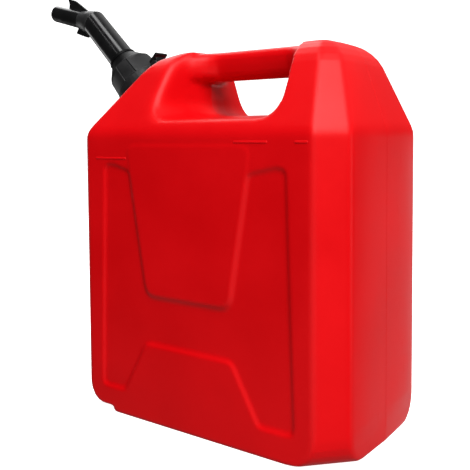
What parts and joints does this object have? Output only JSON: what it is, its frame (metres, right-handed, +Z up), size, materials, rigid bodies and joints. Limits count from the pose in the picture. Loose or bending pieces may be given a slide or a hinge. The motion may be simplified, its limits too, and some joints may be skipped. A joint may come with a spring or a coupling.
{
  "type": "fuel can",
  "caption": "Upright plastic fuel can with chamfered corners, a moulded top handle, recessed side panels, a sloping neck and a bent pouring spout held by a screw collar.",
  "frame": {"origin": "middle of the flat base that the can stands on", "axes": "+X from the spout end to the rear end, +Y from the front broad face to the back one, +Z up"},
  "size_m": [0.4028, 0.1658, 0.4069],
  "materials": {
    "tank_plastic": "satin blow-moulded polyethylene, faint mould texture",
    "black_plastic": "glossy moulded black plastic",
    "seal_rubber": "matt black sealing rubber"
  },
  "bodies": {
    "can": {"can_body": "tank_plastic", "can_neck": "tank_plastic", "lock_ring": "black_plastic"},
    "tab": {"release_tab": "black_plastic"},
    "seal": {"neck_gasket": "seal_rubber"},
    "spout": {"spout_tube": "black_plastic", "spout_nozzle": "black_plastic", "breather_tube": "black_plastic"},
    "collar": {"screw_collar": "black_plastic"}
  },
  "joints": [
    {"name": "collar_rise", "type": "slide", "parent": "can", "child": "seal", "axis": [-0.7071, 0, 0.7071], "range_m": [0, 0.009]},
    {"name": "collar_turn", "type": "hinge", "parent": "seal", "child": "collar", "pos_m": [-0.11068, 0, 0.28982], "axis": [-0.7071, 0, 0.7071], "range_deg": [0, 541]},
    {"name": "spout_swivel", "type": "hinge", "parent": "seal", "child": "spout", "pos_m": [-0.11068, 0, 0.28982], "axis": [-0.7071, 0, 0.7071], "continuous": true},
    {"name": "tab_press", "type": "hinge", "parent": "can", "child": "tab", "pos_m": [-0.10036, 0, 0.3239], "axis": [0, 1, 0], "range_deg": [0, 10], "stiffness_Nm_per_rad": 0.05, "springref_deg": -2.86}
  ],
  "couplings": [
    {"joint": "collar_turn", "follows": "collar_rise", "rad_per_m": 1047.2}
  ]
}
